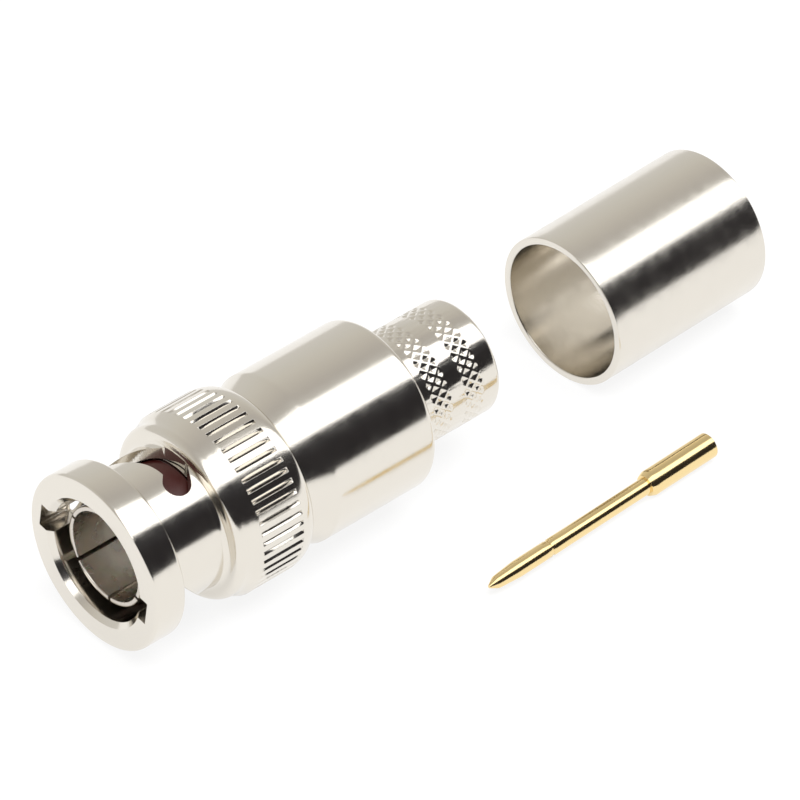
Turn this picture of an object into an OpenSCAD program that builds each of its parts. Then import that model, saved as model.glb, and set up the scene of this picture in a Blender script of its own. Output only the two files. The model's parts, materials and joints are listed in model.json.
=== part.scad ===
// BNC plug for large coaxial cable, crimp type, with its loose crimp ferrule and centre pin.
// Millimetres. The plug's axis is X: the mating face is at x = 0 and the cable leaves towards +X.
// The plug, the ferrule and the pin lie on one flat surface, as a kit laid out on a bench.

/* [Coupling nut] */
// Length from the mating face to the rear lip
nut_len = 15.2; // [14.6:0.1:17]
// Radius of the bore that takes the jack
nut_bore_r = 4.9; // [4.85:0.01:5]
// Radius of the front rim
rim_r = 7.15; // [6.8:0.05:7.4]
// Length of the front rim
rim_len = 2.8; // [2.2:0.1:3.4]
// Radius of the barrel behind the rim
barrel_r = 5.7; // [5.5:0.05:5.9]
// Where the front face of the shoulder is
shoulder_x = 7.95; // [7.8:0.05:8.1]
// Radius of the fillet at the foot of the shoulder
shoulder_foot = 0.45; // [0.2:0.05:0.6]
// Radius of the round edge of the shoulder
shoulder_round = 0.75; // [0.5:0.05:0.9]
// How far the shoulder's edge lies under the knurl
shoulder_drop = 0.4; // [0.3:0.05:0.5]
// Radius over the knurl
knurl_r = 7.47; // [7.3:0.01:7.8]
// Where the knurl starts
knurl_x = 9.9; // [9.6:0.1:10.2]
// Length of the knurl
knurl_len = 3.85; // [3:0.05:4.2]
// Number of straight grooves in the knurl
knurl_count = 54; // [40:1:70]
// Depth of a groove
groove_depth = 0.24; // [0.1:0.01:0.35]
// Width of a groove at its mouth
groove_w = 0.38; // [0.2:0.01:0.5]
// Distance of the grooves' ends from the knurl's edges
groove_inset = 0.05; // [0.02:0.01:0.2]
// Radius of the rear lip
lip_r = 6.8; // [6.6:0.05:7]
// Width of the plain band in front of the knurl
band_w = 0.85; // [0.7:0.05:0.9]
// Radius of the chamber for the washers
chamber_r = 6.1; // [6.05:0.01:6.2]

/* [Bayonet cam] */
// Width of the keyways and cam slots
slot_w = 2.15; // [2:0.05:2.4]
// Radius that the slots reach
slot_r = 5.98; // [5.92:0.01:6.2]
// How far the nut is turned about its axis
nut_turn = 9.3; // [0:0.1:360]
// Where the cam ramp leaves the keyway
cam_x = 2.6; // [2:0.1:3]
// How far the ramp runs back along the axis
cam_rise = 4.5; // [4:0.1:4.6]
// Angle of the locking pocket from the keyway
pocket_angle = 101.5; // [98:0.5:110]
// How far the pocket lies in front of the ramp's end
pocket_drop = 0.7; // [0.3:0.05:1]
// Number of steps in which the ramp is cut
cam_steps = 18; // [9:1:30]
// Number of steps in a round end of a slot
end_steps = 5; // [3:1:9]

/* [Outer contact] */
// Setback of the contact fingers from the mating face
contact_x = 1.1; // [0.6:0.1:2]
// Radius over the fingers
contact_r = 4.05; // [4:0.01:4.1]
// Radius inside the fingers
contact_bore_r = 3.65; // [3.5:0.01:3.75]
// Number of fingers
finger_count = 6; // [4:1:8]
// Width of the slits between the fingers
slit_w = 0.3; // [0.2:0.05:0.4]
// Length of the slits
slit_len = 4.6; // [3:0.1:5]
// Length of the contact's root behind the flange of the body
contact_root = 2; // [1:0.1:3]
// Turn of the slits about the axis
slit_turn = 24.8; // [0:0.1:60]

/* [Front body] */
// Where the gasket seat of the body is
seat_x = 7.9; // [7.7:0.05:8.1]
// Radius of the hub in the nut's bore
hub_r = 4.82; // [4.7:0.01:4.84]
// Front of the flange that stops the nut
flange_x = 8.85; // [8.75:0.05:9]
// Length of the flange
flange_len = 1.2; // [1:0.05:1.3]
// Radius of the journal that carries the washers
journal_r = 4.6; // [4.4:0.05:4.7]
// Length of the tail that is pressed into the rear body
tail_len = 4; // [2:0.1:5]
// Radius of the bore behind the contact
tail_bore_r = 3.4; // [3:0.05:3.6]

/* [Gasket and washers] */
// Length of the silicone gasket
gasket_len = 2.2; // [1.5:0.1:2.5]
// Radius over the gasket
gasket_r = 4.7; // [4.5:0.05:4.75]
// Thickness of a wave washer
wave_t = 0.2; // [0.15:0.01:0.25]
// Height of a wave washer's waves
wave_h = 0.42; // [0.3:0.01:0.45]
// Number of waves
wave_count = 3; // [3:1:4]
// Thickness of the flat slip washer
slip_t = 0.4; // [0.3:0.05:0.5]
// Thickness of the retaining ring
ring_t = 0.6; // [0.4:0.05:0.7]
// Depth of the ring's groove in the nut
ring_groove = 0.35; // [0.25:0.01:0.4]
// Angle of the gap in the retaining ring
ring_gap = 24; // [10:1:60]

/* [Rear body] */
// Radius of the cylindrical shell
shell_r = 6.95; // [6.6:0.05:7.2]
// Radius of the small end of the cone
cone_r = 6; // [5.8:0.05:6.4]
// Length of the cone
cone_len = 2.1; // [1.5:0.1:3]
// Length from the cone's front to the shell's back face
shell_len = 11.85; // [10:0.05:14]
// Radius of the shell's back edge
shell_edge = 0.6; // [0.3:0.05:1]
// Thickness of the wall behind the chamber
shell_back = 2; // [1.5:0.1:4]

/* [Crimp stem] */
// Radius of the stem
stem_r = 4.7; // [4.5:0.05:4.9]
// Length of the stem behind the shell
stem_len = 8.4; // [8:0.1:12]
// Radius of the stem's back edge
stem_edge = 0.45; // [0.2:0.05:0.6]
// Radius of the stem's bore for the cable core
stem_bore_r = 3.75; // [3.5:0.05:3.9]
// Where the first knurled band starts behind the shell
band_gap = 1.65; // [1:0.05:2]
// Length of a knurled band
band_len = 1.95; // [1.8:0.05:2]
// Distance from the first band to the second
band_pitch = 3.1; // [2.8:0.05:3.2]
// Number of knurled bands
band_count = 2; // [1:1:2]
// Number of pits round one row of a band
pit_count = 30; // [20:1:36]
// Number of rows in a band
pit_rows = 4; // [2:1:4]
// Width of a pit across its corners
pit_w = 0.62; // [0.3:0.01:0.66]
// Depth of a pit
pit_depth = 0.2; // [0.1:0.01:0.3]

/* [Insulators] */
// Length of the front insulator
front_insulator_len = 5; // [3:0.1:6]
// Length of the rear insulator
rear_insulator_len = 3; // [2:0.1:4]

/* [Crimp ferrule] */
// Radius over the ferrule
ferrule_r = 6.23; // [6:0.01:6.6]
// Wall of the ferrule
ferrule_wall = 0.63; // [0.4:0.01:0.8]
// Length of the ferrule
ferrule_len = 15.9; // [12:0.1:20]
// Where the front of the ferrule lies along the plug's axis
ferrule_x = 46; // [40:0.1:60]
// Where it lies to the side of the plug's axis
ferrule_y = -0.3; // [-20:0.1:20]
// How far the ferrule is turned on the bench
ferrule_turn = 1.8; // [-5:0.1:5]

/* [Centre pin] */
// Radius of the pin in front of its barrel
pin_r = 0.67; // [0.6:0.01:0.68]
// Radius of the flat on its nose
nose_flat_r = 0.12; // [0.05:0.01:0.3]
// Radius where the nose meets the taper
nose_r = 0.5; // [0.35:0.05:0.55]
// Length of the nose
nose_len = 0.7; // [0.4:0.1:1.5]
// Station where the taper behind the nose ends
taper_end = 2.7; // [1.6:0.1:4]
// Station of the shallow waist
waist_x = 6.2; // [5:0.1:8]
// Depth of the waist
waist_depth = 0.1; // [0.04:0.01:0.15]
// Width of the waist
waist_w = 0.4; // [0.2:0.05:0.6]
// Length of the pin in front of its barrel
pin_shaft_len = 16.4; // [14:0.1:18]
// Radius of the crimp barrel
pin_barrel_r = 1.03; // [1:0.01:1.2]
// Length of the crimp barrel
pin_barrel_len = 6.8; // [5:0.1:9]
// Length of the bevel at the front of the barrel
barrel_bevel = 0.45; // [0.2:0.05:0.6]
// Radius of the hole for the cable's conductor
pin_bore_r = 0.8; // [0.6:0.01:0.85]
// Depth of the hole for the cable's conductor
pin_bore_len = 5.6; // [3:0.1:6]
// Radius of the inspection hole in the barrel
inspection_r = 0.3; // [0.2:0.05:0.4]
// Distance of the inspection hole from the bottom of the bore
inspection_x = 0.6; // [0.4:0.1:2]
// Where the tip of the pin lies along the plug's axis
pin_x = 24.6; // [10:0.1:40]
// Where it lies to the side of the plug's axis
pin_y = -15.6; // [-30:0.1:-10]
// How far the pin is turned on the bench
pin_turn = 2.2; // [-5:0.1:5]

/* [Fits] */
// Radial clearance of parts that turn or slide
run_gap = 0.06; // [0.03:0.01:0.1]
// Radial clearance drawn between pressed parts
press_gap = 0.01; // [0:0.005:0.02]
// Axial clearance between stacked parts
face_gap = 0.03; // [0.02:0.01:0.1]
// Radial clearance of the washers
washer_gap = 0.15; // [0.1:0.01:0.2]
// Gap between the nut's lip and the cone
nut_gap = 0.3; // [0.2:0.05:0.5]

/* [Hidden] */
$fn = 96;

nickel = [0.80, 0.78, 0.74];
spring_steel = [0.66, 0.65, 0.63];
gold = [0.90, 0.73, 0.36];
silicone = [0.42, 0.06, 0.05];
ptfe = [0.93, 0.93, 0.90];

// How far a cutter runs past the face that it opens
over = 0.5;
// Small bevels: rim of the nut, its mouth, tube ends, tips of the contact fingers, and steps of the pin
edge_break = 0.3;
lead_in = 0.4;
tube_break = 0.12;
tip_break = 0.15;
pin_break = 0.2;

// Stations along the axis, each worked out from the piece that is seated on
flange_end = flange_x + flange_len;
wave_front_x = flange_end + face_gap;
wave_rear_x = wave_front_x + wave_h + wave_t + face_gap;
slip_x = wave_rear_x + wave_h + wave_t + face_gap;
ring_x = slip_x + slip_t + face_gap;
knurl_end = knurl_x + knurl_len;
cone_x = nut_len + nut_gap;
tail_end = cone_x + tail_len;
shell_end = cone_x + shell_len;
stem_end = shell_end + stem_len;
chamber_end = shell_end - shell_back;
contact_end = flange_end + contact_root;
insulator_x = contact_end - front_insulator_len;
bench_z = -knurl_r;

// Radii that follow from the piece inside or outside
flange_r = chamber_r - run_gap;
washer_bore_r = journal_r + washer_gap;
washer_r = chamber_r - washer_gap;
ring_bore_r = washer_bore_r + ring_groove;
ring_r = chamber_r + ring_groove;
shoulder_r = knurl_r - shoulder_drop;

// Degrees round the barrel for each millimetre of arc
turn_per_mm = 180 / PI / barrel_r;

// A turned piece: points are [radius, station] round its section
module turned(points) rotate([0, 90, 0]) rotate_extrude() polygon(points);

// A plain tube with both ends lightly broken
module tube(x, r, bore, len) turned([
    [bore + tube_break, x], [r - tube_break, x], [r, x + tube_break],
    [r, x + len - tube_break], [r - tube_break, x + len], [bore + tube_break, x + len],
    [bore, x + len - tube_break], [bore, x + tube_break]
]);

// A flat washer
module washer(x, r, bore, len) turned([[bore, x], [r, x], [r, x + len], [bore, x + len]]);

// Points on an arc about [radius, station], from angle a0 to a1, and stretch times as long along the axis
function arc(centre, r, a0, a1, stretch = 1, steps = 6) =
    [for (i = [0 : steps]) let (a = a0 + (a1 - a0) * i / steps) centre + r * [cos(a), stretch * sin(a)]];

// Everything inside turned so that angle a from +Y towards +Z points along its own +Z
module facing(a) rotate([a - 90, 0, 0]) children();

// Rim, barrel, round shoulder, plain band, knurl, round lip, then the chamber and the bore
function nut_outline() = concat(
    [[nut_bore_r + lead_in, 0]],
    arc([rim_r - edge_break, edge_break], edge_break, -90, 0),
    arc([rim_r - edge_break, rim_len - edge_break], edge_break, 0, 90),
    [[barrel_r, rim_len]],
    arc([barrel_r + shoulder_foot, shoulder_x - shoulder_foot], shoulder_foot, 180, 90),
    arc([shoulder_r - shoulder_round, shoulder_x + shoulder_round], shoulder_round, -90, 0),
    [[shoulder_r, knurl_x - band_w], [knurl_r, knurl_x]],
    arc([lip_r, knurl_end], knurl_r - lip_r, 0, 90, (nut_len - knurl_end) / (knurl_r - lip_r)),
    [[chamber_r, nut_len], [chamber_r, ring_x + ring_t + face_gap], [ring_r, ring_x + ring_t + face_gap]],
    [[ring_r, ring_x - face_gap], [chamber_r, ring_x - face_gap]],
    [[chamber_r, flange_x], [nut_bore_r, flange_x], [nut_bore_r, lead_in]]
);

// One section of the cam slot: station, angle past the keyway, pitch of its path, half its width
function ramp_section(p) =
    [cam_x + cam_rise * sin(p), p, atan(cam_rise * cos(p) / barrel_r), slot_w / 2];

// Sections of a round end, from its centre (share 0) towards its tip (share 1)
function round_section(x, a, pitch, share) = let (reach = slot_w / 2 * sin(90 * share))
    [x + reach * sin(pitch), a + reach * cos(pitch) * turn_per_mm, pitch, slot_w / 2 * cos(90 * share)];

// The slot runs from the keyway up the ramp, and drops back into the locking pocket
function slot_sections() =
    let (fall = -atan(pocket_drop * turn_per_mm / (pocket_angle - 90)))
    let (start = ramp_section(0), pocket_x = cam_x + cam_rise - pocket_drop)
    concat(
        [for (i = [end_steps : -1 : 1]) let (s = round_section(0, 0, start[2], i / (end_steps + 1)))
            [cam_x - s[0], -s[1], s[2], s[3]]],
        [for (i = [0 : cam_steps]) ramp_section(90 * i / cam_steps)],
        [for (i = [0 : end_steps]) round_section(pocket_x, pocket_angle, fall, i / (end_steps + 1))]
    );

// Cutter for the cam slot: each section's front and rear wall, from inside the bore to slot_r
module cam_slot() {
    sections = slot_sections();
    floor_r = nut_bore_r - over;
    points = [for (s = sections) for (c = [[-1, floor_r], [1, floor_r], [1, slot_r], [-1, slot_r]])
        let (x = s[0] + c[0] * s[3] * cos(s[2]), a = s[1] - c[0] * s[3] * sin(s[2]) * turn_per_mm)
            [x, c[1] * cos(a), c[1] * sin(a)]];
    last = 4 * (len(sections) - 1);
    walls = [for (i = [0 : 4 : last - 1]) for (k = [0 : 3]) let (m = (k + 1) % 4)
        for (f = [[i + k, i + k + 4, i + m], [i + m, i + k + 4, i + m + 4]]) f];
    polyhedron(points = points,
        faces = concat([[0, 1, 2, 3]], walls, [[last + 3, last + 2, last + 1, last]]));
}

module keyway() facing(0) translate([-over, -slot_w / 2, 0]) cube([cam_x + over, slot_w, slot_r]);

// V-shaped cutter that is groove_w wide where it breaks the surface
module knurl_groove() rotate([90, 0, 90]) linear_extrude(knurl_len - 2 * groove_inset)
    polygon([[0, knurl_r - groove_depth], [groove_w, knurl_r + groove_depth],
        [-groove_w, knurl_r + groove_depth]]);

module coupling_nut() color(nickel) difference() {
    turned(nut_outline());
    for (side = [0, 180]) rotate([nut_turn + side, 0, 0]) {
        keyway();
        cam_slot();
    }
    for (i = [0 : knurl_count - 1]) rotate([360 * i / knurl_count, 0, 0])
        translate([knurl_x + groove_inset, 0, 0]) knurl_groove();
}

// C-shaped spring ring, seated in the groove of the nut
module retaining_ring() color(spring_steel) rotate([0, 90, 0]) translate([0, 0, ring_x])
    rotate([0, 0, ring_gap / 2]) rotate_extrude(angle = 360 - ring_gap)
        translate([ring_bore_r, 0]) square([ring_r - press_gap - ring_bore_r, ring_t]);

module slip_washer() color(nickel) washer(slip_x, washer_r, washer_bore_r, slip_t);

// A flat ring pressed into waves, swept section by section round the axis
module wave_washer(x, turn, steps = 48) {
    function wave(a) = x + wave_h / 2 * (1 + cos(wave_count * a + turn));
    points = [for (i = [0 : steps - 1]) let (a = 360 * i / steps, w = wave(a))
        for (p = [[washer_bore_r, 0], [washer_r, 0], [washer_r, wave_t], [washer_bore_r, wave_t]])
            [w + p[1], p[0] * cos(a), p[0] * sin(a)]];
    faces = [for (i = [0 : steps - 1]) for (k = [0 : 3])
        let (a = 4 * i + k, b = 4 * i + (k + 1) % 4, n = 4 * steps, c = (a + 4) % n, d = (b + 4) % n)
            for (f = [[a, c, b], [b, c, d]]) f];
    polyhedron(points = points, faces = faces);
}

module wave_washer_front() color(spring_steel) wave_washer(wave_front_x, 0);

module wave_washer_rear() color(spring_steel) wave_washer(wave_rear_x, 180);

// Silicone ring round the foot of the contact fingers
module gasket() color(silicone)
    washer(seat_x - gasket_len, gasket_r, contact_r + press_gap, gasket_len - press_gap);

module outer_contact() color(nickel) difference() {
    turned([
        [contact_bore_r, contact_x], [contact_r - tip_break, contact_x], [contact_r, contact_x + tip_break],
        [contact_r, contact_end], [tail_bore_r, contact_end], [tail_bore_r, insulator_x],
        [contact_bore_r, insulator_x]
    ]);
    for (i = [0 : finger_count - 1]) facing(slit_turn + 360 * i / finger_count)
        translate([contact_x - over, -slit_w / 2, 0]) cube([slit_len + over, slit_w, contact_r + over]);
}

// Flanged sleeve that carries the contact, the nut and its washers
module front_body() color(nickel) turned([
    [contact_r + press_gap, seat_x], [hub_r, seat_x], [hub_r, flange_x + face_gap],
    [flange_r, flange_x + face_gap], [flange_r, flange_end], [journal_r, flange_end],
    [journal_r, tail_end], [tail_bore_r, tail_end], [tail_bore_r, contact_end + press_gap],
    [contact_r + press_gap, contact_end + press_gap]
]);

module front_insulator() color(ptfe)
    washer(insulator_x, tail_bore_r - press_gap, pin_r + run_gap, front_insulator_len);

module rear_insulator() color(ptfe)
    washer(tail_end + press_gap, journal_r, pin_barrel_r + run_gap, rear_insulator_len);

// Diamond pits of one knurled band, in rows that are staggered by half a pitch
module pits() for (row = [0 : pit_rows - 1]) for (i = [0 : pit_count - 1])
    facing(360 * (i + (row % 2) / 2) / pit_count)
        translate([(row + 0.5) * band_len / pit_rows, 0, stem_r - pit_depth])
            cylinder(r = pit_w / 2, h = pit_depth + over, $fn = 4);

// Cone, shell and knurled crimp stem, turned from one bar
module rear_body() color(nickel) difference() {
    turned(concat(
        [[journal_r + press_gap, cone_x], [cone_r, cone_x], [shell_r, cone_x + cone_len]],
        arc([shell_r - shell_edge, shell_end - shell_edge], shell_edge, 0, 90),
        [[stem_r, shell_end]],
        arc([stem_r - stem_edge, stem_end - stem_edge], stem_edge, 0, 90),
        [[stem_bore_r + tube_break, stem_end], [stem_bore_r, stem_end - tube_break]],
        [[stem_bore_r, chamber_end], [journal_r + press_gap, chamber_end]]
    ));
    for (band = [0 : band_count - 1])
        translate([shell_end + band_gap + band * band_pitch, 0, 0]) pits();
}

module crimp_ferrule() color(nickel) translate([ferrule_x, ferrule_y, bench_z + ferrule_r])
    rotate([0, 0, ferrule_turn]) tube(0, ferrule_r, ferrule_r - ferrule_wall, ferrule_len);

// Gold-plated pin, tip first: nose, taper, waist, then the crimp barrel with its inspection hole
module centre_pin() {
    pin_len = pin_shaft_len + pin_barrel_len;
    bore_x = pin_len - pin_bore_len;
    color(gold) translate([pin_x, pin_y, bench_z + pin_barrel_r]) rotate([0, 0, pin_turn]) difference() {
        turned([
            [0, 0], [nose_flat_r, 0], [nose_r, nose_len], [pin_r, taper_end],
            [pin_r, waist_x - waist_w / 2], [pin_r - waist_depth, waist_x], [pin_r, waist_x + waist_w / 2],
            [pin_r, pin_shaft_len], [pin_barrel_r - pin_break, pin_shaft_len],
            [pin_barrel_r, pin_shaft_len + barrel_bevel], [pin_barrel_r, pin_len], [pin_bore_r, pin_len],
            [pin_bore_r, bore_x], [0, bore_x - pin_bore_r / 2]
        ]);
        translate([bore_x + inspection_x, 0, -pin_barrel_r - over])
            cylinder(r = inspection_r, h = pin_barrel_r + over, $fn = 32);
    }
}

coupling_nut();
retaining_ring();
slip_washer();
wave_washer_front();
wave_washer_rear();
gasket();
outer_contact();
front_body();
front_insulator();
rear_insulator();
rear_body();
crimp_ferrule();
centre_pin();
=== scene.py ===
import json
import math

import bpy
from mathutils import Matrix, Vector


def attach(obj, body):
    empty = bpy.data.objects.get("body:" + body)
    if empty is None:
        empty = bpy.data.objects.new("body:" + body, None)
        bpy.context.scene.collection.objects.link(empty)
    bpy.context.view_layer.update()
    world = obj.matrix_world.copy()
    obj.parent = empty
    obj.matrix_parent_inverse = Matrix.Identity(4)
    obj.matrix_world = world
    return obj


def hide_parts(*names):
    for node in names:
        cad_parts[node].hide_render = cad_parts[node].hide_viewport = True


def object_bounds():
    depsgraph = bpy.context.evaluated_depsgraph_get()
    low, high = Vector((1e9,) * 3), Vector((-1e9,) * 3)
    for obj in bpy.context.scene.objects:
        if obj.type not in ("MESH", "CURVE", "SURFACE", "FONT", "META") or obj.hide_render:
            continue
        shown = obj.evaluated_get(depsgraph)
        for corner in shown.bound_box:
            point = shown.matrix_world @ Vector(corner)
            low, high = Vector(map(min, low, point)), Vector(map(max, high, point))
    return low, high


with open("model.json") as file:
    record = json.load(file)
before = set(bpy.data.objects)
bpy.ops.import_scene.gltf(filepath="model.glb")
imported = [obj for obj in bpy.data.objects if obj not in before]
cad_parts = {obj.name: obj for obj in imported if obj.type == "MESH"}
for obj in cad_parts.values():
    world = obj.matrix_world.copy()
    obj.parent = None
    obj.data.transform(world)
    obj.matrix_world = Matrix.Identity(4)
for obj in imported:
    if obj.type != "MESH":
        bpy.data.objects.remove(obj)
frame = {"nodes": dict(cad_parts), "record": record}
cad_low, cad_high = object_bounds()
mm = 0.001

# Polished nickel shows these as its grey, white and black bands.

aim = Vector((27.85, -2.18, 1.29)) * mm
camera_turn = math.radians(41.89)
camera_height = math.radians(39.74)
camera_distance = 490 * mm
lens_mm = 297.6

sight = Vector((math.sin(camera_turn) * math.cos(camera_height),
                math.cos(camera_turn) * math.cos(camera_height),
                -math.sin(camera_height)))
camera = bpy.data.objects.new("camera", bpy.data.cameras.new("camera"))
camera.location = aim - sight * camera_distance
camera.rotation_mode = "QUATERNION"
camera.rotation_quaternion = sight.to_track_quat("-Z", "Y")
camera.data.lens = lens_mm
camera.data.sensor_width = 36
camera.data.clip_start = 10 * mm
bpy.context.collection.objects.link(camera)
bpy.context.scene.camera = camera
bpy.context.scene.view_settings.view_transform = "Standard"


def new_material(name):
    """An empty node material, its Principled shader and its links"""
    material = bpy.data.materials.new(name)
    material.use_nodes = True
    return material, material.node_tree.nodes, material.node_tree.links


def camera_or_gloss(nodes, links):
    """A socket that is 1 for camera, glossy and transmission rays: metal then shows the bench as it looks"""
    path = nodes.new("ShaderNodeLightPath")
    seen = path.outputs["Is Camera Ray"]
    for ray in ("Is Glossy Ray", "Is Transmission Ray"):
        both = nodes.new("ShaderNodeMath")
        both.operation = "MAXIMUM"
        links.new(seen, both.inputs[0])
        links.new(path.outputs[ray], both.inputs[1])
        seen = both.outputs[0]
    return seen


# Brightness of the room by the angle over the plug, from the horizon behind it (0) to the one in
# front of it (180)
room_tones = ((0, (0.73, 0.715, 0.69)), (20, (0.71, 0.70, 0.67)), (40, (0.68, 0.66, 0.615)),
              (60, (0.605, 0.58, 0.54)), (76, (0.53, 0.51, 0.485)), (90, (0.60, 0.59, 0.57)),
              (93, (1.9, 1.9, 1.9)), (127, (1.9, 1.9, 1.9)), (129, (0.05, 0.05, 0.055)),
              (150, (0.028, 0.026, 0.028)), (180, (0.03, 0.028, 0.03)))
world = bpy.data.worlds.new("studio")
bpy.context.scene.world = world
world.use_nodes = True
nodes, links = world.node_tree.nodes, world.node_tree.links
nodes.clear()
direction = nodes.new("ShaderNodeTexCoord")
parts = nodes.new("ShaderNodeSeparateXYZ")
angle = nodes.new("ShaderNodeMath")
angle.operation = "ARCTAN2"
share = nodes.new("ShaderNodeMath")
share.operation = "DIVIDE"
share.inputs[1].default_value = math.pi
room = nodes.new("ShaderNodeValToRGB")
room.color_ramp.elements.remove(room.color_ramp.elements[1])
for place, (degrees, tone) in enumerate(room_tones):
    stop = room.color_ramp.elements[0] if place == 0 else room.color_ramp.elements.new(degrees / 180)
    stop.position = degrees / 180
    stop.color = (*tone, 1)
light = nodes.new("ShaderNodeBackground")
white = nodes.new("ShaderNodeBackground")
white.inputs["Color"].default_value = (1, 1, 1, 1)
path = nodes.new("ShaderNodeLightPath")
shown = nodes.new("ShaderNodeMixShader")
output = nodes.new("ShaderNodeOutputWorld")
links.new(direction.outputs["Generated"], parts.inputs[0])
links.new(parts.outputs["Z"], angle.inputs[0])
links.new(parts.outputs["Y"], angle.inputs[1])
links.new(angle.outputs[0], share.inputs[0])
links.new(share.outputs[0], room.inputs["Fac"])
links.new(room.outputs["Color"], light.inputs["Color"])
links.new(path.outputs["Is Camera Ray"], shown.inputs["Fac"])
links.new(light.outputs[0], shown.inputs[1])
links.new(white.outputs[0], shown.inputs[2])
links.new(shown.outputs[0], output.inputs["Surface"])

bench_size = 4.0
bench_share = 0.86
bench_mesh = bpy.data.meshes.new("bench")
bench_half = bench_size / 2
bench_corners = [(x * bench_half, y * bench_half, cad_low.z) for x, y in ((-1, -1), (1, -1), (1, 1), (-1, 1))]
bench_mesh.from_pydata(bench_corners, [], [(0, 1, 2, 3)])
bench = bpy.data.objects.new("bench", bench_mesh)
bpy.context.collection.objects.link(bench)
bench_paint, nodes, links = new_material("bench_paint")
nodes.clear()
paper = nodes.new("ShaderNodeBsdfDiffuse")
paper.inputs["Color"].default_value = (0.9, 0.9, 0.9, 1)
glow = nodes.new("ShaderNodeEmission")
glow.inputs["Color"].default_value = (1, 1, 1, 1)
glow.inputs["Strength"].default_value = 1.0
amount = nodes.new("ShaderNodeMath")
amount.operation = "MULTIPLY"
amount.inputs[1].default_value = bench_share
mix = nodes.new("ShaderNodeMixShader")
output = nodes.new("ShaderNodeOutputMaterial")
links.new(camera_or_gloss(nodes, links), amount.inputs[0])
links.new(amount.outputs[0], mix.inputs["Fac"])
links.new(paper.outputs[0], mix.inputs[1])
links.new(glow.outputs[0], mix.inputs[2])
links.new(mix.outputs[0], output.inputs["Surface"])
bench_mesh.materials.append(bench_paint)

lamp_data = bpy.data.lights.new("softbox", "AREA")
lamp_data.shape = "RECTANGLE"
lamp_data.size = 1.2
lamp_data.size_y = 0.5
lamp_data.energy = 9
lamp = bpy.data.objects.new("softbox", lamp_data)
lamp.location = (0.03, -0.25, 0.8)
lamp.rotation_mode = "QUATERNION"
lamp.rotation_quaternion = (Vector((0.03, 0, 0)) - lamp.location).to_track_quat("-Z", "Y")
lamp.visible_glossy = False
lamp.visible_camera = False
bpy.context.collection.objects.link(lamp)

# --- Coupling nut ---------------------------------------------------------------------------
# The bayonet nut is turned from one brass bar, straight-knurled, milled with two keyways and two
# cam slots, and plated with bright nickel. It runs on the front body and is held by a spring ring.

nut_bore, nut_mouth = 4.9, 0.4
rim, rim_length, rim_edge = 7.15, 2.8, 0.3
barrel = 5.7
shoulder_front, shoulder_foot, shoulder_round = 7.95, 0.45, 0.75
knurl, knurl_start, knurl_end = 7.47, 9.9, 13.75
plain_band, shoulder_drop = 0.85, 0.4
nut_length, lip, lip_edge = 15.2, 6.8, 0.08
chamber, chamber_front = 6.1, 8.85
ring_front, ring_back, ring_groove = 11.78, 12.44, 6.45
teeth, groove_depth, groove_half, groove_run = 54, 0.24, 0.19, 0.14
slot_width, slot_reach, nut_turn = 2.15, 5.98, 9.3
cam_start, cam_rise, pocket_angle, pocket_drop = 2.6, 4.5, 101.5, 0.7


def arc(radius, station, size, start, end, steps=8, stretch=1.0):
    """Points (radius, station) on an arc, with angles in degrees from the radial direction"""
    turns = [math.radians(start + (end - start) * i / steps) for i in range(steps + 1)]
    return [(radius + size * math.cos(a), station + size * stretch * math.sin(a)) for a in turns]


def steps_between(first, last, count):
    """Evenly spaced values from first to last"""
    return [first + (last - first) * i / count for i in range(count + 1)]


def new_piece(name, points, faces):
    """A mesh object whose points are in millimetres in the part's frame"""
    mesh = bpy.data.meshes.new(name)
    mesh.from_pydata([Vector(p) * mm for p in points], [], faces)
    mesh.validate()
    piece = bpy.data.objects.new(name, mesh)
    bpy.context.collection.objects.link(piece)
    return piece


def smooth(piece, crease=32):
    """Smooth shading that keeps every edge over the crease angle sharp"""
    piece.data.shade_smooth()
    piece.data.set_sharp_from_angle(angle=math.radians(crease))


def lathe(name, outline, turns, relief=None):
    """A closed outline of (radius, station) turned about X, each radius changed by relief(r, x, angle)"""
    points = []
    for a in turns:
        for r, x in outline:
            r += relief(r, x, a) if relief else 0
            points.append((x, r * math.cos(a), r * math.sin(a)))
    n, m = len(outline), len(turns)
    faces = [(i * n + j, (i + 1) % m * n + j, (i + 1) % m * n + (j + 1) % n, i * n + (j + 1) % n)
             for i in range(m) for j in range(n)]
    piece = new_piece(name, points, faces)
    smooth(piece)
    return piece


def full_turn(count):
    return [2 * math.pi * i / count for i in range(count)]


def cut(piece, cutter):
    """Takes the cutter out of the piece, and removes the cutter"""
    boolean = piece.modifiers.new("cut", "BOOLEAN")
    boolean.operation = "DIFFERENCE"
    boolean.solver = "EXACT"
    boolean.object = cutter
    with bpy.context.temp_override(object=piece, active_object=piece):
        bpy.ops.object.modifier_apply(modifier=boolean.name)
    bpy.data.objects.remove(cutter)
    smooth(piece)


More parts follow.
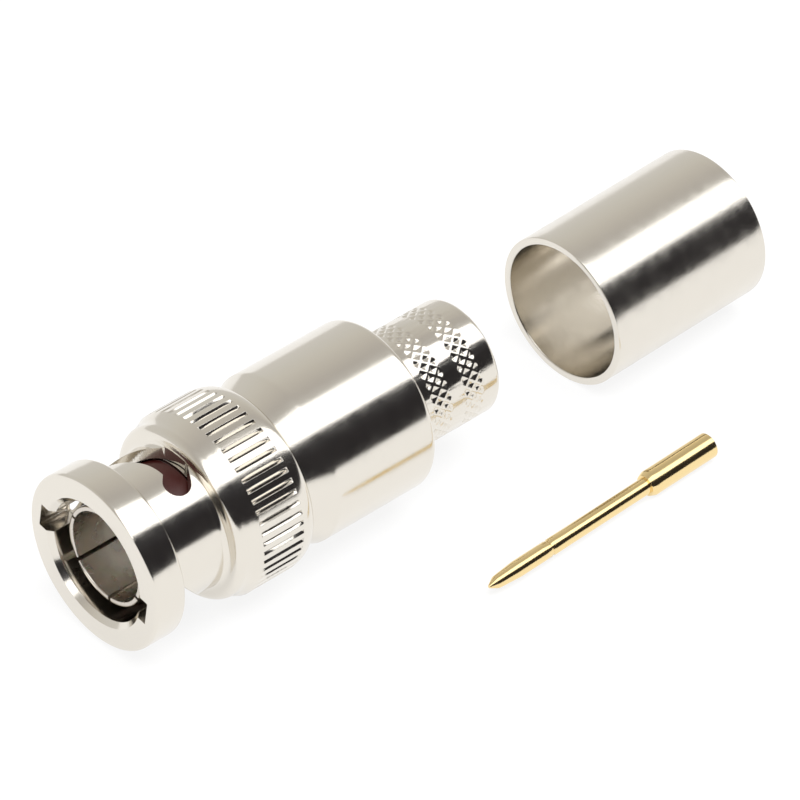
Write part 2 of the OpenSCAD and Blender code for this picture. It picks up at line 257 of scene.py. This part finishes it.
def plated(name, tone, roughness, grain, speckle=0.5, edge=0.05):
    """Bright plating: a metal with a fine grain in its gloss, faint pits and softly broken edges"""
    material, nodes, links = new_material(name)
    shader = nodes["Principled BSDF"]
    shader.inputs["Base Color"].default_value = (*tone, 1)
    shader.inputs["Metallic"].default_value = 1
    place = nodes.new("ShaderNodeTexCoord")
    cloud = nodes.new("ShaderNodeTexNoise")
    cloud.inputs["Scale"].default_value = 900
    cloud.inputs["Detail"].default_value = 4
    gloss = nodes.new("ShaderNodeMapRange")
    gloss.inputs["From Min"].default_value = 0.3
    gloss.inputs["From Max"].default_value = 0.7
    gloss.inputs["To Min"].default_value = roughness * 0.8
    gloss.inputs["To Max"].default_value = roughness * 1.25
    pits = nodes.new("ShaderNodeTexNoise")
    pits.inputs["Scale"].default_value = grain
    pits.inputs["Detail"].default_value = 2
    bump = nodes.new("ShaderNodeBump")
    bump.inputs["Strength"].default_value = speckle
    bump.inputs["Distance"].default_value = 0.004 * mm
    corner = nodes.new("ShaderNodeBevel")
    corner.samples = 4
    corner.inputs["Radius"].default_value = edge * mm
    links.new(place.outputs["Object"], cloud.inputs["Vector"])
    links.new(place.outputs["Object"], pits.inputs["Vector"])
    links.new(cloud.outputs["Fac"], gloss.inputs["Value"])
    links.new(gloss.outputs["Result"], shader.inputs["Roughness"])
    links.new(pits.outputs["Fac"], bump.inputs["Height"])
    links.new(corner.outputs["Normal"], bump.inputs["Normal"])
    links.new(bump.outputs["Normal"], shader.inputs["Normal"])
    return material


def finish_piece(piece, body, material, slot, *nodes):
    """Gives a piece its material, its body and the solids that it stands for; the slot is not used"""
    piece.data.materials.clear()
    piece.data.materials.append(material)
    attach(piece, body)
    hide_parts(*nodes)


def knurl_relief(r, x, a):
    """V grooves cut into the band, each running out at its ends"""
    if r < knurl - 0.01 or not knurl_start < x < knurl_end:
        return 0
    pitch = 2 * math.pi / teeth
    across = abs((a + pitch / 2) % pitch - pitch / 2) * knurl
    run = min(1, (x - knurl_start) / groove_run, (knurl_end - x) / groove_run)
    return -groove_depth * run * max(0, 1 - across / groove_half)


shoulder = knurl - shoulder_drop
lip_round = knurl - lip
nut_outline = [
    (nut_bore, nut_mouth), (nut_bore + nut_mouth, 0),
    *arc(rim - rim_edge, rim_edge, rim_edge, -90, 0),
    *arc(rim - rim_edge, rim_length - rim_edge, rim_edge, 0, 90),
    (barrel + 0.05, rim_length), (barrel, rim_length + 0.05),
    *[(barrel, x) for x in steps_between(3.2, 7.2, 8)],
    *arc(barrel + shoulder_foot, shoulder_front - shoulder_foot, shoulder_foot, 180, 90),
    *arc(shoulder - shoulder_round, shoulder_front + shoulder_round, shoulder_round, -90, 0),
    (shoulder, knurl_start - plain_band),
    *[(shoulder + (knurl - shoulder) * t, knurl_start - plain_band * (1 - t)) for t in (0.35, 0.7, 1)],
    *[(knurl, x) for x in steps_between(knurl_start + groove_run, knurl_end - groove_run, 4)],
    *arc(lip, knurl_end, lip_round, 0, 84, 10, (nut_length - lip_edge - knurl_end) / lip_round),
    (lip - lip_edge, nut_length), (chamber, nut_length),
    (chamber, ring_back), (ring_groove, ring_back), (ring_groove, ring_front), (chamber, ring_front),
    (chamber, chamber_front), (nut_bore, chamber_front),
]
tooth_shares = (0, 0.12, 0.219, 0.26, 0.38, 0.5, 0.62, 0.74, 0.781, 0.88)
nut_turns = [2 * math.pi * (tooth + share) / teeth for tooth in range(teeth) for share in tooth_shares]
coupling_nut = lathe("coupling_nut_bright", nut_outline, nut_turns, knurl_relief)

# The slot cutters start inside the bore, and an arc on the barrel times arc_to_turn is its angle
cutter_floor = nut_bore - 0.5
arc_to_turn = 1 / barrel


def slot_sections():
    """Station, angle, pitch and half-width along the cam slot: round start, ramp, pocket, round end"""
    half_width = slot_width / 2
    start = math.atan(cam_rise / barrel)
    pocket_turn = math.radians(pocket_angle)
    fall = -math.atan(pocket_drop * arc_to_turn / (pocket_turn - math.pi / 2))
    ends = [math.radians(a) for a in range(8, 89, 8)]
    for a in reversed(ends):
        reach = half_width * math.sin(a)
        yield (cam_start - reach * math.sin(start), -reach * math.cos(start) * arc_to_turn, start,
               half_width * math.cos(a))
    for a in steps_between(0, math.pi / 2, 36):
        yield cam_start + cam_rise * math.sin(a), a, math.atan(cam_rise * math.cos(a) / barrel), half_width
    for a in [0, *ends]:
        reach = half_width * math.sin(a)
        yield (cam_start + cam_rise - pocket_drop + reach * math.sin(fall),
               pocket_turn + reach * math.cos(fall) * arc_to_turn, fall, half_width * math.cos(a))


def cam_cutter(turn):
    """The solid that the cam slot is milled away with, from inside the bore to slot_reach"""
    points = []
    for x, a, pitch, half_width in slot_sections():
        for side, r in ((-1, cutter_floor), (1, cutter_floor), (1, slot_reach), (-1, slot_reach)):
            at = a - side * half_width * math.sin(pitch) * arc_to_turn + turn
            points.append((x + side * half_width * math.cos(pitch), r * math.cos(at), r * math.sin(at)))
    last = len(points) - 4
    faces = [(i + k, i + (k + 1) % 4, i + 4 + (k + 1) % 4, i + 4 + k)
             for i in range(0, last, 4) for k in range(4)]
    faces += [(3, 2, 1, 0), (last, last + 1, last + 2, last + 3)]
    return new_piece("cam_cutter", points, faces)


def block(name, low, high, turn):
    """A box between two corners, turned about X"""
    points = [Matrix.Rotation(turn, 3, "X") @ Vector((x, y, z))
              for x in (low[0], high[0]) for y in (low[1], high[1]) for z in (low[2], high[2])]
    faces = [(0, 1, 3, 2), (4, 6, 7, 5), (0, 4, 5, 1), (2, 3, 7, 6), (0, 2, 6, 4), (1, 5, 7, 3)]
    return new_piece(name, points, faces)


keyway_turn = math.radians(nut_turn)
cut(coupling_nut, block("keyway_cutter", (-0.5, -slot_reach, -slot_width / 2),
                        (cam_start, slot_reach, slot_width / 2), keyway_turn))
cut(coupling_nut, cam_cutter(keyway_turn))
cut(coupling_nut, cam_cutter(keyway_turn + math.pi))

nickel_tone = (0.775, 0.735, 0.665)
nut_nickel = plated("nut_nickel", nickel_tone, 0.13, 9000)
finish_piece(coupling_nut, "nut", nut_nickel, "nut_nickel", "coupling_nut")

# --- Retaining ring, washers and front body ---------------------------------------------------
# A C-shaped spring ring, a flat washer and two wave washers of steel strip sit in the nut's
# chamber. The front body is the plated brass sleeve that they run on, pressed into the rear body.


def dress(node, material):
    """Gives a solid of the frame a better finish"""
    for place in frame["nodes"][node].material_slots:
        place.material = material


steel = plated("spring_steel", (0.56, 0.55, 0.53), 0.2, 5000)
washer_nickel = plated("washer_nickel", (0.70, 0.67, 0.62), 0.2, 5000)
for node in ("retaining_ring", "wave_washer_front", "wave_washer_rear"):
    dress(node, steel)
for node in ("slip_washer", "front_body"):
    dress(node, washer_nickel)

# --- Outer contact ----------------------------------------------------------------------------
# The contact is a thin springy sleeve of copper alloy, slit into six fingers and nickel-plated.
# It is pressed into the front body, and its fingers close on the jack.

contact, contact_bore = 4.05, 3.65
contact_front, contact_back = 1.1, 12.05
seat_bore, seat_front = 3.4, 7.05
finger_edge = 0.12
slit_width, slit_end, slit_turn, fingers = 0.3, 5.7, 24.8, 6
contact_outline = [
    (seat_bore, contact_back), (seat_bore, seat_front), (contact_bore, seat_front),
    *[(contact_bore, x) for x in steps_between(slit_end + 1, contact_front + 0.2, 6)],
    *arc(contact_bore + finger_edge, contact_front + finger_edge, finger_edge, 180, 270, 4),
    *arc(contact - finger_edge, contact_front + finger_edge, finger_edge, -90, 0, 4),
    *[(contact, x) for x in steps_between(contact_front + 0.3, slit_end + 1, 6)],
    (contact, contact_back),
]
outer_contact = lathe("outer_contact_fingers", contact_outline, full_turn(180))
for slit in range(fingers // 2):
    at = math.radians(slit_turn) + 2 * math.pi * slit / fingers
    cut(outer_contact, block("slit_cutter", (0, -5, -slit_width / 2), (slit_end, 5, slit_width / 2), at))
contact_nickel = plated("contact_nickel", (0.66, 0.61, 0.55), 0.24, 6000)
finish_piece(outer_contact, "body", contact_nickel, "contact_nickel", "outer_contact")

# --- Gasket -----------------------------------------------------------------------------------
# A dark red silicone ring, moulded, slipped over the foot of the contact. The face of the jack
# is pressed against it.

gasket_back, gasket_length, gasket_outer, gasket_edge = 7.88, 2.18, 4.7, 0.18
gasket_outline = [
    (contact + 0.01, gasket_back), (contact + 0.01, gasket_back - gasket_length),
    *arc(gasket_outer - gasket_edge, gasket_back - gasket_length + gasket_edge, gasket_edge, -90, 0, 5),
    *arc(gasket_outer - gasket_edge, gasket_back - gasket_edge, gasket_edge, 0, 90, 5),
]
gasket = lathe("gasket_ring", gasket_outline, full_turn(128))
silicone, nodes, links = new_material("silicone")
shader = nodes["Principled BSDF"]
shader.inputs["Base Color"].default_value = (0.035, 0.005, 0.004, 1)
shader.inputs["Roughness"].default_value = 0.38
place = nodes.new("ShaderNodeTexCoord")
skin = nodes.new("ShaderNodeTexNoise")
skin.inputs["Scale"].default_value = 2500
bump = nodes.new("ShaderNodeBump")
bump.inputs["Strength"].default_value = 0.3
bump.inputs["Distance"].default_value = 0.01 * mm
links.new(place.outputs["Object"], skin.inputs["Vector"])
links.new(skin.outputs["Fac"], bump.inputs["Height"])
links.new(bump.outputs["Normal"], shader.inputs["Normal"])
finish_piece(gasket, "body", silicone, "silicone", "gasket")

# --- Insulators -------------------------------------------------------------------------------
# Two discs turned from white PTFE rod, pressed into the contact and the rear body. Their holes
# hold the centre pin once it is crimped and pushed home.

ptfe, nodes, links = new_material("ptfe")
shader = nodes["Principled BSDF"]
shader.inputs["Base Color"].default_value = (0.82, 0.82, 0.79, 1)
shader.inputs["Roughness"].default_value = 0.45
shader.inputs["Subsurface Weight"].default_value = 0.25
shader.inputs["Subsurface Scale"].default_value = 0.6 * mm
place = nodes.new("ShaderNodeTexCoord")
lines = nodes.new("ShaderNodeTexWave")
lines.wave_type = "RINGS"
lines.rings_direction = "X"
lines.inputs["Scale"].default_value = 4000
lines.inputs["Distortion"].default_value = 1.5
bump = nodes.new("ShaderNodeBump")
bump.inputs["Strength"].default_value = 0.25
bump.inputs["Distance"].default_value = 0.01 * mm
links.new(place.outputs["Object"], lines.inputs["Vector"])
links.new(lines.outputs["Fac"], bump.inputs["Height"])
links.new(bump.outputs["Normal"], shader.inputs["Normal"])
for node in ("front_insulator", "rear_insulator"):
    dress(node, ptfe)

# --- Rear body --------------------------------------------------------------------------------
# Cone, shell and hollow crimp stem are turned from one brass bar, knurled on the stem to grip
# the braid, and plated like the nut. It is pressed onto the tail of the front body.

cone_front, cone_length, cone, shell = 15.5, 2.1, 6.0, 6.95
shell_back, shell_edge = 27.35, 0.6
stem, stem_back, stem_edge, stem_bore, chamber_back = 4.7, 35.75, 0.45, 3.75, 25.35
body_bore = 4.61
band_fronts, band_length, band_rows, band_pits, pit_depth = (29.0, 32.1), 1.95, 4, 30, 0.12
band_steps = 32
soft = 0.12


def diamond_relief(r, x, a):
    """Rows of pyramid pits, each row half a pitch round from the last, as two crossed knurls leave"""
    if r < stem - 0.001:
        return 0
    for front in band_fronts:
        along = (x - front) / band_length * band_rows
        if 0 < along < band_rows:
            around = a / (2 * math.pi) * band_pits * 2
            first, second = (along + around + 0.5) % 2 - 1, (along - around + 0.5) % 2 - 1
            edge = min(1, along * 3, (band_rows - along) * 3)
            return -pit_depth * edge * max(0, 1 - max(abs(first), abs(second)) / 0.8)
    return 0


stem_stations = [x for front in band_fronts for x in steps_between(front, front + band_length, band_steps)]
slope = math.atan2(shell - cone, cone_length)
rear_outline = [
    (body_bore, cone_front), (cone - soft, cone_front),
    *arc(cone - soft, cone_front + soft, soft, -90, math.degrees(slope) - 90 + 60, 4),
    (cone + 0.05, cone_front + soft + 0.1),
    (shell - 0.06, cone_front + cone_length - 0.1), (shell - 0.015, cone_front + cone_length),
    (shell, cone_front + cone_length + 0.1),
    *[(shell, x) for x in steps_between(18, 26.5, 10)],
    *arc(shell - shell_edge, shell_back - shell_edge, shell_edge, 0, 90, 12),
    (stem + 0.1, shell_back), (stem, shell_back + 0.1),
    *[(stem, x) for x in stem_stations],
    *arc(stem - stem_edge, stem_back - stem_edge, stem_edge, 0, 90, 10),
    (stem_bore + soft, stem_back), (stem_bore, stem_back - soft),
    (stem_bore, chamber_back), (body_bore, chamber_back),
]
rear_body = lathe("rear_body_bright", rear_outline, full_turn(band_pits * 16), diamond_relief)
body_nickel = plated("body_nickel", nickel_tone, 0.14, 9000, speckle=0.8)
finish_piece(rear_body, "body", body_nickel, "body_nickel", "rear_body")

# --- Crimp ferrule ----------------------------------------------------------------------------
# A length of thin copper tube, cut off, deburred and nickel-plated. It waits beside the plug,
# slides over the braid and is crimped onto the stem.

mounts = {mount["name"]: mount for mount in frame["record"]["mounts"]}
ferrule, ferrule_bore, ferrule_length, tube_edge = 6.23, 5.6, 15.9, 0.12


def lay_along(piece, mount):
    """Moves a piece that was turned about the origin onto the axis of a mount, centred on its point"""
    axis = Vector(mount["axis"])
    axis *= math.copysign(1, axis.x)
    turned = Matrix.Rotation(math.atan2(axis.y, axis.x), 4, "Z")
    piece.data.transform(Matrix.Translation(Vector(mount["pos_m"])) @ turned)


half_length = ferrule_length / 2
ferrule_outline = [
    *[(ferrule_bore, x) for x in steps_between(half_length - tube_edge, tube_edge - half_length, 12)],
    *arc(ferrule_bore + tube_edge, tube_edge - half_length, tube_edge, 190, 270, 4),
    *arc(ferrule - tube_edge, tube_edge - half_length, tube_edge, -90, 0, 5),
    *[(ferrule, x) for x in steps_between(1 - half_length, half_length - 1, 10)],
    *arc(ferrule - tube_edge, half_length - tube_edge, tube_edge, 0, 90, 5),
    *arc(ferrule_bore + tube_edge, half_length - tube_edge, tube_edge, 90, 170, 4),
]
crimp_ferrule = lathe("crimp_ferrule_tube", ferrule_outline, full_turn(240))
lay_along(crimp_ferrule, mounts["ferrule_bore"])
ferrule_nickel = plated("ferrule_nickel", nickel_tone, 0.2, 7000, speckle=1.0)
finish_piece(crimp_ferrule, "body", ferrule_nickel, "ferrule_nickel", "crimp_ferrule")

# --- Centre pin -------------------------------------------------------------------------------
# The pin is turned from brass rod, drilled for the cable's centre conductor and plated with gold.
# It is crimped onto the conductor and pushed through the insulators.

pin, pin_barrel, pin_bore = 0.67, 1.03, 0.8
shaft_length, pin_length, bore_depth = 16.4, 23.2, 5.6
nose_flat, nose, nose_length, taper_end = 0.12, 0.5, 0.7, 2.7
waist, waist_depth, waist_half = 6.2, 0.1, 0.2
barrel_bevel, pin_edge = 0.45, 0.06
bore_bottom = pin_length - bore_depth
pin_outline = [
    (0, 0.0), (nose_flat, 0.0), (nose - 0.06, nose_length - 0.1), (nose, nose_length + 0.05),
    (pin - 0.01, taper_end), (pin, taper_end + 0.3),
    *[(pin, x) for x in steps_between(taper_end + 0.6, waist - waist_half, 4)],
    (pin - waist_depth, waist),
    *[(pin, x) for x in steps_between(waist + waist_half, shaft_length, 8)],
    (pin_barrel - 0.2, shaft_length), (pin_barrel - 0.17, shaft_length + 0.03),
    (pin_barrel - 0.02, shaft_length + barrel_bevel - 0.04),
    (pin_barrel, shaft_length + barrel_bevel + 0.03),
    *[(pin_barrel, x) for x in steps_between(shaft_length + 1, pin_length - 0.3, 8)],
    *arc(pin_barrel - pin_edge, pin_length - pin_edge, pin_edge, 0, 90, 5),
    (pin_bore + 0.03, pin_length), (pin_bore, pin_length - 0.03),
    (pin_bore, bore_bottom), (0, bore_bottom - pin_bore / 2),
]
crimp_middle = bore_bottom + bore_depth / 2
centre_pin = lathe("centre_pin_gold", [(r, x - crimp_middle) for r, x in pin_outline], full_turn(96))
lay_along(centre_pin, mounts["pin_crimp_bore"])
gold = plated("gold", (0.90, 0.70, 0.36), 0.13, 9000)
finish_piece(centre_pin, "body", gold, "gold", "centre_pin")
